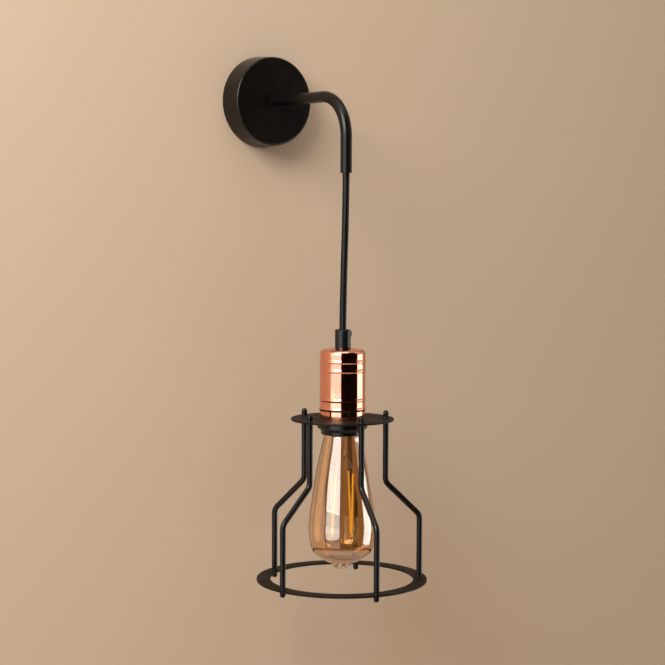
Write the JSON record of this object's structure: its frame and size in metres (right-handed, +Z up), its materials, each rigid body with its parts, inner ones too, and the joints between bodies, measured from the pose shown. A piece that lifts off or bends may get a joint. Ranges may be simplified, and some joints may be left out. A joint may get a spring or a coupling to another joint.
{
  "type": "cage wall light",
  "caption": "Wall light with a round canopy, a bent arm tube, a hanging cord, a copper lampholder, an open wire cage and a long filament bulb.",
  "frame": {"origin": "middle of the canopy's back, on the wall, which is also the middle of the bracket's screw holes", "axes": "+Z up, +X to the right seen from the room, +Y into the wall"},
  "size_m": [0.15, 0.2105, 0.4724],
  "materials": {
    "black_steel": "satin black powder coat",
    "zinc_steel": "zinc plated",
    "brass": "plain brass",
    "copper": "polished copper plate",
    "black_plastic": "moulded, satin",
    "white_plastic": "moulded",
    "cord_sheath": "smooth sheath",
    "core_live": "insulated core",
    "core_neutral": "insulated core",
    "core_earth": "insulated core",
    "amber_glass": "amber tinted, clear",
    "clear_glass": "clear",
    "dark_glass": "fused black glass",
    "cap_metal": "rolled",
    "solder": "solder",
    "filament": "phosphor coated",
    "wire": "thin wire"
  },
  "bodies": {
    "wall_arm": {"wall_bracket": "zinc_steel", "bracket_earth_screw": "zinc_steel", "canopy": "black_steel", "canopy_grub_screws": "zinc_steel", "terminal_block": "white_plastic", "terminal_barrels": "brass", "terminal_screws": "zinc_steel", "terminal_block_screw": "zinc_steel", "canopy_lead_earth": "core_earth", "canopy_lead_neutral": "core_neutral", "canopy_lead_live": "core_live", "bracket_earth_lead": "core_earth", "arm_tube": "black_steel", "arm_nipple": "brass", "arm_washer": "zinc_steel", "arm_nut": "zinc_steel", "mouth_bush": "black_plastic", "cord_in_arm": "cord_sheath"},
    "cord_bend": {"cord_bend": "cord_sheath"},
    "cord": {"hanging_cord": "cord_sheath"},
    "lamp": {"cord_in_holder": "cord_sheath", "cord_grip": "black_plastic", "cord_grip_screw": "black_plastic", "lampholder_cup": "copper", "holder_bridge": "zinc_steel", "bridge_screws": "zinc_steel", "holder_nut": "zinc_steel", "holder_insert": "black_plastic", "thread_shell": "brass", "centre_contact": "brass", "neutral_link": "brass", "holder_terminals": "brass", "holder_terminal_screws": "zinc_steel", "holder_core_live": "core_live", "holder_core_neutral": "core_neutral", "holder_earth_screw": "zinc_steel", "holder_core_earth": "core_earth", "holder_collar": "black_plastic", "cage_disc": "black_steel", "cage_ring": "black_steel", "cage_rod_1": "black_steel", "cage_rod_2": "black_steel", "cage_rod_3": "black_steel", "cage_rod_4": "black_steel", "cage_rod_5": "black_steel"},
    "bulb_lift": {"bulb_centre_contact": "solder"},
    "bulb": {"bulb_glass": "amber_glass", "bulb_cap": "cap_metal", "bulb_insulator": "dark_glass", "bulb_stem": "clear_glass", "bulb_filaments": "filament", "bulb_support_wires": "wire"}
  },
  "joints": [
    {"name": "swing_sideways", "type": "hinge", "parent": "wall_arm", "child": "cord_bend", "pos_m": [0, -0.1365, -0.0674], "axis": [0, 1, 0], "range_deg": [-25, 25]},
    {"name": "swing_in_out", "type": "hinge", "parent": "cord_bend", "child": "cord", "pos_m": [0, -0.1365, -0.0674], "axis": [1, 0, 0], "range_deg": [-25, 9.5]},
    {"name": "lamp_twist", "type": "hinge", "parent": "cord", "child": "lamp", "pos_m": [-0.0019, -0.13555, -0.2034], "axis": [0, 0, 1], "range_deg": [-180, 180]},
    {"name": "bulb_travel", "type": "slide", "parent": "lamp", "child": "bulb_lift", "axis": [0, 0, -1], "range_m": [0, 0.0109]},
    {"name": "bulb_turn", "type": "hinge", "parent": "bulb_lift", "child": "bulb", "pos_m": [-0.0019, -0.13555, -0.28], "axis": [0, 0, -1], "range_deg": [0, 1080]}
  ],
  "couplings": [
    {"joint": "bulb_travel", "follows": "bulb_turn", "m_per_rad": 0.00057757}
  ]
}
